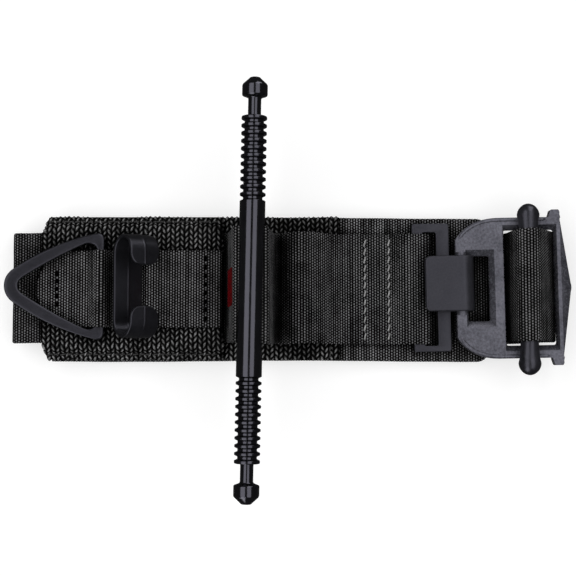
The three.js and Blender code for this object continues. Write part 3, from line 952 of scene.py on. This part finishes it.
def windlass_rod():
    """A round rod with a slot through its middle, rings, and a necked head at each end."""
    half, radius, yaw = 135.3 / 2, 4.1, -1.13
    tip, cone, head, shoulder = 1.8, 2.5, 3.45, 0.8
    neck_radius, neck = 2.1, 5.9
    pitch, rings, depth = 2.45, 11, 1.0
    shaft_start = 12.0
    head_end = half - cone - head
    neck_start = head_end - shoulder
    ring_start = neck_start - neck
    ends = [(half, 0.01), (half, tip - 0.45), (half - 0.12, tip - 0.12), (half - 0.45, tip + 0.18)]
    ends += [(half - cone + 0.35, radius - 0.3), (half - cone - 0.05, radius - 0.06),
             (half - cone - 0.4, radius), (head_end + 0.3, radius), (head_end, radius - 0.12)]
    ends += [(neck_start + 0.25, neck_radius + 0.45), (neck_start - 0.05, neck_radius + 0.08),
             (neck_start - 0.4, neck_radius), (ring_start + 0.45, neck_radius)]
    ends += [(ring_start + 0.12, neck_radius + 0.1), (ring_start + 0.02, neck_radius + 0.4),
             (ring_start, radius - 0.35), (ring_start - 0.1, radius - 0.1)]
    along = np.arange(ring_start - 0.35, ring_start - rings * pitch - 0.6, -0.1)
    grooves = ring_start - np.arange(1, rings + 1) * pitch + pitch / 4
    nearest = np.abs(along[:, None] - grooves[None]).min(1)
    wall = 0.32             # half the width over which a groove's side falls
    share = eased(np.clip((pitch / 4 + wall - nearest) / (2 * wall), 0, 1))
    ends += list(zip(along, radius - depth * share))
    ends.append((shaft_start, radius))
    rod = lathe("windlass_rod_turned", "rod", both_ends(ends), (0, 0, 0), 56)
    slot_half, slot_rise, slot_corner, beyond = 20.25, 1.5, 0.6, 6
    flank = slot_rise - slot_corner
    mouth = [(slot_half, -flank), (slot_half, flank),
             (slot_half - slot_corner, slot_rise), (slot_half - slot_corner, -slot_rise)]
    slot = hull("slot", [(x, side * y, z) for x in (-beyond, beyond) for side in (-1, 1)
                         for y, z in mouth])
    combined(rod, [slot], "DIFFERENCE")
    shade_by_angle(rod, 50)
    _, y, z = middle("windlass_rod")
    placed(rod, (0, y, z), yaw, "Z")
    stands_for(rod, "black_alloy", "windlass_rod", body="windlass")


# ---- left hardware

def tri_ring():
    """A rounded triangle of even bars, leaning on the keeper with its tip raised."""
    pivot_z, lean = 13.45, 8.8
    squareness, half_thick_z = 2 / 5.5, 1.1
    outer = Line(-31.6, 0).curve(-31.6, 3, -29.9, 4.7, -28.4, 5.75)
    outer.curve(-16.2, 14.3, -1.8, 17.7).curve(1.1, 18.2, 1.1, 15.2).to(1.1, 0)
    inner = Line(-27, 0).curve(-27, 1.4, -26.2, 2.4, -25, 3.1)
    inner.curve(-14.6, 9.9, -5.2, 14.2).curve(-1.6, 15, -1.1, 11.6).to(-1.1, 0)
    counts = (18, 46, 18, 20)       # samples of the tip, the flank, the corner and the hinge side

    def section(line):
        points = np.array(line.points)
        starts = [line.bends * k for k in range(len(counts))] + [len(points) - 1]
        taken = []
        for start, end, count in zip(starts, starts[1:], counts):
            part = points[start:end + 1]
            steps = np.linspace(0, 1, len(part))
            at = np.linspace(0, 1, count, endpoint=False)
            taken.append(np.stack([np.interp(at, steps, part[:, c]) for c in (0, 1)], 1))
        upper = np.vstack(taken + [points[-1:]])
        lower = upper[1:-1][::-1] * [1, -1]
        return np.vstack([upper, lower])

    out, inn = section(outer), section(inner)
    turn = circle(28)
    wide = np.sign(np.cos(turn)) * np.abs(np.cos(turn)) ** squareness
    tall = np.sign(np.sin(turn)) * np.abs(np.sin(turn)) ** squareness * half_thick_z
    plan = ((out + inn) / 2)[:, None, :] + ((out - inn) / 2)[:, None, :] * wide[None, :, None]
    points = np.concatenate([plan, np.broadcast_to(tall, plan.shape[:2])[..., None]], -1)
    rows, columns = points.shape[:2]
    faces = [[corner % (rows * columns) for corner in face] for face in grid_faces(rows + 1, columns)]
    ring = mesh_object("tri_ring_moulding", points.reshape(-1, 3), faces, "plastic")
    placed(ring, (RING_X, middle("tri_ring")[1], pivot_z), lean, "Y")
    recalculated(ring)
    stands_for(ring, "black_plastic", "tri_ring", body="ring")


def clip_pin():
    """The pin that the clip rocks on, with a lug at each end that reaches up to the clip."""
    radius, half, lug_inside = 0.75, 15.1, 13.5
    pin = lathe("clip_hinge_pin", "plastic",
                both_ends([(-half, 0.01), (-half, 0.6), (-half + 0.15, radius)]), (0, 0, 0), 24)
    outline = softened([(-radius, -0.7), (radius, -0.7), (radius, 3.3), (-2.6, 3.3)], 0.25)
    lugs = [hull("lug", [(x, y, z) for x, z in outline for y in (lug_inside * side, half * side)])
            for side in (-1, 1)]
    combined(pin, lugs, "UNION")
    return shade_by_angle(pin, 35)


def windlass_clip():
    """An open C whose two hooks end in round tongues, with a faint ridge down its middle."""
    thick, height, half_y, mouth, under_z = 1.3, 12.0, 17.0, 6.55, 2.35
    half_width, centre_x, tip, roundness = 5.4, -4.6, 4.6, 2.4
    pivot_z, lean = 12.7, 38
    bend = (height - thick) / 2
    bend_y = half_y - thick / 2 - bend
    z = under_z + height / 2
    line = Line(mouth, z + bend - 0.1)
    line.to(bend_y, z + bend)
    line.arc(bend_y, z, bend, 90, -90)
    line.to(-bend_y, z - bend)
    line.arc(-bend_y, z, bend, 270, 90)
    line.to(-mouth, z + bend - 0.1)
    flat, distance, _ = line.sampled(0.3)
    near = np.minimum(distance, distance[-1] - distance)
    inside = np.clip((tip - near) / tip, 0, 1)
    width = half_width * np.clip(1 - inside ** roundness, 0.0015, 1) ** (1 / roundness)

    def draft(along, across):
        off = np.abs(across - centre_x)
        return 0.05 * (half_width - off) * 0.9 + 0.1 * np.exp(-(off / 0.22) ** 2) - 0.1

    clip = band("windlass_clip_moulding", "plastic", flat, distance, width, thick - 0.1, draft,
                centre_x, plane="yz", across=44, pinch=0.75)
    pin = clip_pin()
    for made in (clip, pin):
        placed(made, (CLIP_X, middle("windlass_clip")[1], pivot_z), lean, "Y")
    stands_for(clip, "black_plastic", "windlass_clip", body="clip")
    stands_for(pin, "black_plastic", body="clip")


# ---- hook and buckle

# The hook plate and the buckle are drawn from the axis that the buckle swings on.
AXIS_X = 70.2
AXIS_Z = plate_z + 3.2
FRAME_HALF = 1.8            # half the buckle's thickness
FRAME_TOP = AXIS_Z + FRAME_HALF


def skewed(made):
    """Puts a piece drawn from the buckle's axis in its place, slightly askew."""
    return placed(made, (AXIS_X, 0, 0), 1.1, "Z")


def hook_plate():
    """A flat steel plate with a slot for the strap, and a tongue that curls back over as a hook."""
    plate_x, plate_y = (54.1 - AXIS_X, 66.6 - AXIS_X), (-20.8, 22.6)
    slot_x, slot_y = (57.6 - AXIS_X, 62.2 - AXIS_X), (-18.8, 19.6)
    tongue_x, tongue_y, corner = (57.5 - AXIS_X, 65.4 - AXIS_X), (-7.5, 11.1), 2.0
    outline = softened(rectangle(plate_x, plate_y), [0.7, 1.1, 1.1, 0.7])
    slot = softened(rectangle(slot_x, slot_y), 0.8)
    flat = plate("hook_plate_steel", "steel", [outline, slot], plate_low[2],
                 plate_low[2] + plate_thick, 0.28)
    line = Line(tongue_x[1], plate_z).to(0, plate_z)
    line.arc(0, AXIS_Z, AXIS_Z - plate_z, -90, 90)
    line.to(tongue_x[0], AXIS_Z * 2 - plate_z)
    points, distance, _ = line.sampled(0.25)
    half = (tongue_y[1] - tongue_y[0]) / 2
    inside = np.clip((corner - (distance[-1] - distance)) / corner, 0, 1)
    width = half - corner + corner * np.sqrt(np.clip(1 - inside ** 2, 0.0004, 1))
    tongue = band("tongue", "steel", points, distance, width, plate_thick - 0.04,
                  lambda along, across: 0 * (along + across),
                  (tongue_y[0] + tongue_y[1]) / 2, across=30, pinch=0.45)
    combined(flat, [tongue], "UNION")
    shade_by_angle(flat, 45)
    skewed(flat)
    stands_for(flat, "black_steel", "hook_plate", body="root")


def buckle_outline():
    """A D with an ear at each side and an end bar that comes to a blunt point."""
    half_y = 23.6
    ear = [(29.4, half_y), (30.2, half_y + 2.5), (33.0, half_y + 2.5), (33.7, half_y - 0.4)]
    half = Line(-2, 16.35).curve(2.4, half_y, 12.6, half_y).to(29.1, half_y)
    upper = half.points + softened(ear, [0.3, 0.6, 0.6, 0.3], 4) + [(36.6, 1.6), (36.85, 0.7)]
    upper = [(float(x), float(y)) for x, y in upper]
    return upper + [(36.9, 0.0)] + [(x, -y) for x, y in reversed(upper)]


def prism(name, outline):
    """A cutter straight through the frame."""
    beyond = 3
    return hull(name, [(x, y, z) for x, y in outline for z in (AXIS_Z - beyond, AXIS_Z + beyond)])


def chamfer(name, hole, mouth, depth):
    """A cutter that slopes a hole's sides from its upper mouth in to its narrower depth."""
    over, inset = 0.1, 0.2
    (left, right), (front, back) = hole
    floor = rectangle((left + inset, right - inset), (front + inset, back - inset))
    low = [(x, y, FRAME_TOP - depth) for x, y in floor]
    high = [(x, y, FRAME_TOP) for x, y in rectangle(*mouth)]
    above = [(x, y, FRAME_TOP + over) for x, y in rectangle(*mouth)]
    return hull(name, low + high + above)


def end_facet(side):
    """A cutter that slopes the end bar outwards, and away from its middle."""
    inner, outer, slope = 33.2, 38.5, 0.58
    crest = [(inner, -0.3 * side, FRAME_TOP + 0.06), (inner, 25 * side, FRAME_TOP - 0.75)]
    sloped = crest + [(outer, y, z - slope * (outer - inner)) for _, y, z in crest]
    return hull("facet", sloped + [(x, y, FRAME_TOP + 2) for x, y, _ in sloped])


def rim_bead(side):
    """A raised bead along one side of the D."""
    rows, columns, radius, end = 60, 12, 0.62, 1.2
    arc = Line(-0.9, 16.6).curve(3.1, 22.9, 12.8, 22.9).to(28.6, 22.9)
    even, distance = evenly(np.array(arc.points) * [1, side], rows)
    turn = circle(columns)
    to_end = np.minimum(distance, distance[-1] - distance)
    size = radius * np.sqrt(np.clip(to_end / end, 0.02, 1))[:, None]
    plan = even[:, None, :] + normals(even)[:, None, :] * (size * np.cos(turn))[..., None]
    tall = FRAME_TOP - 0.12 + size * np.sin(turn) * 0.9
    solid = np.concatenate([plan, tall[..., None]], -1)
    return recalculated(mesh_object("bead", solid.reshape(-1, 3), tube_faces(rows, columns), "blasted"))


def buckle_frame():
    """A blasted casting with a slot, a window, a round front bar and a sloped end bar."""
    window = ((14.5, 31.4), (-19.3, 19.6))
    window_mouth = ((13.9, 32.0), (-21.1, 21.1))
    slot = ((2.0, 9.3), (-11.0, 11.0))
    slot_mouth = ((1.2, 10.9), (-13.0, 13.0))
    front_bar_y = (-8.7, 12.3)
    bar_radius, overlap, end_bar_x = 1.9, 0.6, 32.3
    body = slab("buckle_frame_casting", "blasted", buckle_outline(), AXIS_Z - FRAME_HALF, FRAME_TOP)
    cutters = [prism("relief", rectangle((-2.6, 1.95), front_bar_y)),
               prism("window", softened(rectangle(*window), 0.9)),
               prism("slot", softened(rectangle(*slot), 0.6)),
               chamfer("slot_edge", slot, slot_mouth, 2.0),
               chamfer("window_edge", window, window_mouth, 2.6), end_facet(1), end_facet(-1)]
    combined(body, cutters, "DIFFERENCE")
    rounded_edges(body, 0.22)
    start, end = front_bar_y[0] - overlap, front_bar_y[1] + overlap
    bar = lathe("pin", "blasted", [(start, 0.01), (start, bar_radius), (end, bar_radius), (end, 0.01)],
                (0, 0, AXIS_Z), 32)
    combined(body, [bar, rim_bead(-1), rim_bead(1)], "UNION")
    shade_by_angle(body, 32)
    # Walls and the end bar take the darker copy of the finish: painted shade where less light falls on
    # them.
    body.data.materials.append(materials["casting"])
    for polygon in body.data.polygons:
        if polygon.center.x > end_bar_x * MM or polygon.normal.z < 0.96:
            polygon.material_index = 1
    skewed(body)
    stands_for(body, "black_steel", "buckle_frame", body="buckle")


def slider_bar():
    """A round bar whose bulb ends are slightly oval where they sit on the rails."""
    low, high = span("slider_bar")
    radius, bulb, half = 3.0, 3.45, (high[1] - low[1]) / 2
    stretch, rail_edge = 3.7, 22.6
    oval, oval_start, oval_full = 0.13, 18.9, 22.0
    bulb_y = half - stretch
    ends = []
    for degrees in np.linspace(1, 90, 18):
        angle = math.radians(degrees)
        ends.append((bulb_y + stretch * math.cos(angle), bulb * math.sin(angle)))
    for t in np.linspace(0.1, 1, 10):
        ends.append((bulb_y - t * (bulb_y - rail_edge), bulb + (radius - bulb) * eased(t)))
    ends += [(18.0, radius), (9.0, radius)]
    x, y, _ = slider_middle
    bar = lathe("slider_bar_pin", "bar", both_ends(ends), tuple(slider_middle), 40)
    for vertex in bar.data.vertices:
        reach = abs(vertex.co.y / MM - y)
        share = min(max((reach - oval_start) / (oval_full - oval_start), 0), 1)
        past = min(max((reach - rail_edge) / (half - rail_edge), 0), 1)
        widen = 1 + oval * eased(share) * (1 - past)
        vertex.co.x = x * MM + (vertex.co.x - x * MM) * widen
    shade_by_angle(bar, 60)
    stands_for(bar, "black_steel", "slider_bar", body="slider")


# ---- thread and tab

def stitch_row(name, material, node, count, radius, slant, rise, along="y", share=0.8, extent=1.0):
    """A row of sewn stitches, each a short thread that dives into the cloth at both ends.

    slant is how far a stitch turns from the row, rise how high it stands, share how much of its
    pitch it fills, and extent how much of the node's length the row takes.
    """
    rows, columns, dive = 11, 8, 0.45
    low, high = span(node)
    axis, other = (1, 0) if along == "y" else (0, 1)
    trim = (high[axis] - low[axis]) * (1 - extent) / 2
    low[axis] += trim
    high[axis] -= trim
    pitch = (high[axis] - low[axis]) / count
    base = low[2]
    points, faces = [], []
    for k in range(count):
        wobble = noise.noise(Vector((k * 1.7, base, 3.1)))
        centre = low[axis] + pitch * (k + 0.5 + 0.06 * wobble)
        reach = pitch * share / 2 * (1 + 0.1 * wobble)
        faces += tube_faces(rows, columns, len(points))
        for t in np.linspace(-1, 1, rows):
            spot = np.zeros(3)
            spot[axis] = centre + reach * t
            spot[other] = (low[other] + high[other]) / 2 + slant * t * (1 + 0.5 * wobble)
            spot[2] = base - dive + (rise + dive) * (1 - abs(t) ** 3)
            twisted = radius * (1 + 0.14 * math.sin(t * 9 + k))
            for angle in circle(columns):
                ring = np.array(spot)
                ring[other] += twisted * math.cos(angle)
                ring[2] += radius * 0.8 * math.sin(angle)
                points.append(ring)
    made = recalculated(mesh_object(name, points, faces, material))
    stands_for(made, "thread", node, body="root")


def stitches():
    for row in (
        # piece, material, node, count, radius, slant, rise, and the settings that differ
        ("fold_stitches_left", "light_thread", "fold_stitch_left", 12, 0.3, 0.28, 0.1, {}),
        ("fold_stitches_right", "light_thread", "fold_stitch_right", 12, 0.3, 0.28, 0.1, {}),
        ("keeper_stitches_left", "black_thread", "keeper_stitch_left", 5, 0.6, 0.1, 0.1,
         {"share": 0.6, "extent": 0.7}),
        ("keeper_stitches_right", "black_thread", "keeper_stitch_right", 8, 0.5, 0.1, 0.1,
         {"share": 0.6}),
        ("backing_end_stitches", "seam_thread", "backing_end_stitch", 20, 0.28, 0.15, 0.25, {}),
        ("sleeve_seam_stitches_upper", "seam_thread", "sleeve_seam_upper", 26, 0.26, 0.1, 0.15,
         {"along": "x"}),
        ("sleeve_seam_stitches_lower", "seam_thread", "sleeve_seam_lower", 26, 0.26, 0.1, 0.15,
         {"along": "x"}),
    ):
        stitch_row(*row[:-1], **row[-1])


RED_YARN = (0.6, 0.55)      # pitch of the red tab's yarns along it and across it


def red_relief(along, across):
    return 0.05 * np.abs(np.sin(math.pi * along / RED_YARN[0]) * np.sin(math.pi * across / RED_YARN[1]))


def red_tab():
    """Plain red cloth sewn to the strap beside the rod, with frayed edges."""
    low, high = span("red_tab")
    line = Line(low[0] + 0.3, low[2]).to(low[0] + 2.19, high[2])
    points, distance, _ = line.sampled(0.25)
    half = (high[1] - low[1]) / 2 - 0.2
    frayed = half - 0.3 + 0.3 * np.sin(distance * 3.1) * np.sin(distance * 7.3 + 1)
    made = band("red_tab_cloth", "red", points, distance, frayed, 0.3, red_relief, across=60)
    twist(made)
    stands_for(made, "red_cloth", "red_tab")


for build in (strap_pieces, base_pad, backing, sleeve, keeper, windlass_rod, tri_ring, windlass_clip,
              hook_plate, buckle_frame, slider_bar, stitches, red_tab):
    build()


# ---- studio

def pale_floor():
    """A plain pale floor, a little brighter to the camera than to the object."""
    size, drop, glow = 3.0, 0.0002, 0.6
    shader = Shader("pale_floor", roughness=0.9, specular=0.1)
    mottled = shader.noise(shader.place(), 3.0, 2.0)
    shader.set("Base Color", shader.ramp(mottled, (0.3, grey(0.44)), (0.7, grey(0.46))))
    seen = Signal(shader, shader.node("ShaderNodeLightPath").outputs["Is Camera Ray"])
    shader.set("Emission Color", (1, 1, 1, 1))
    shader.set("Emission Strength", seen * glow)
    mesh = bpy.data.meshes.new("floor")
    corners = [(x, y, 0) for x, y in rectangle((-size, size), (-size, size))]
    mesh.from_pydata(corners, [], [(0, 1, 2, 3)])
    mesh.materials.append(shader.material)
    floor = linked("floor", mesh)
    floor.location.z = -drop
    floor.visible_glossy = False


def white_world():
    """White behind the object, but only a faint light on it."""
    world = bpy.data.worlds.new("studio")
    bpy.context.scene.world = world
    world.use_nodes = True
    tree = world.node_tree
    backdrop = tree.nodes["Background"]
    backdrop.inputs["Color"].default_value = (1, 1, 1, 1)
    rays = tree.nodes.new("ShaderNodeLightPath")
    sums = [tree.nodes.new("ShaderNodeMath") for _ in range(2)]
    sums[0].inputs[2].default_value = 0.05      # the light that every ray sees
    for step, kind, added in zip(sums, ("Is Camera Ray", "Is Diffuse Ray"), (0.95, 0.08)):
        step.operation = "MULTIPLY_ADD"
        tree.links.new(rays.outputs[kind], step.inputs[0])
        step.inputs[1].default_value = added
    tree.links.new(sums[0].outputs[0], sums[1].inputs[2])
    tree.links.new(sums[1].outputs[0], backdrop.inputs["Strength"])


def aimed(name, data, place, target):
    """A light or camera at a place, pointing at its target, both in metres."""
    made = linked(name, data)
    made.location = place
    made.rotation_mode = "QUATERNION"
    made.rotation_quaternion = (Vector(target) - Vector(place)).to_track_quat("-Z", "Y")
    return made


def softbox(name, place, width, length, power, diffuse):
    """A soft panel; without diffuse it is only seen in reflections, as a card is."""
    light = bpy.data.lights.new(name, "AREA")
    light.shape = "RECTANGLE"
    light.size, light.size_y = length, width
    light.energy = power
    lamp = aimed(name, light, place, (0, 0, 0))
    lamp.visible_camera = False
    lamp.visible_diffuse = diffuse


def camera():
    data = bpy.data.cameras.new("camera")
    data.lens = 74.6
    data.clip_start, data.clip_end = 0.01, 20
    eye, aim = Vector((11.8, -25.45, 412)) * MM, Vector((11.8, 0.35, 12)) * MM
    bpy.context.scene.camera = aimed("camera", data, eye, aim)


def studio():
    bpy.context.scene.view_settings.view_transform = "Standard"
    pale_floor()
    white_world()
    softbox("left_panel", (-0.34, 0.0, 0.62), 0.5, 1.25, power=4.2, diffuse=True)
    softbox("right_panel", (0.30, 0.0, 0.62), 0.42, 1.25, power=3.3, diffuse=True)
    softbox("back_card", (0.3, 0.6, 0.3), 0.6, 0.4, power=2.2, diffuse=False)
    softbox("front_card", (-0.25, -0.65, 0.28), 0.6, 0.4, power=2.2, diffuse=False)
    camera()


studio()
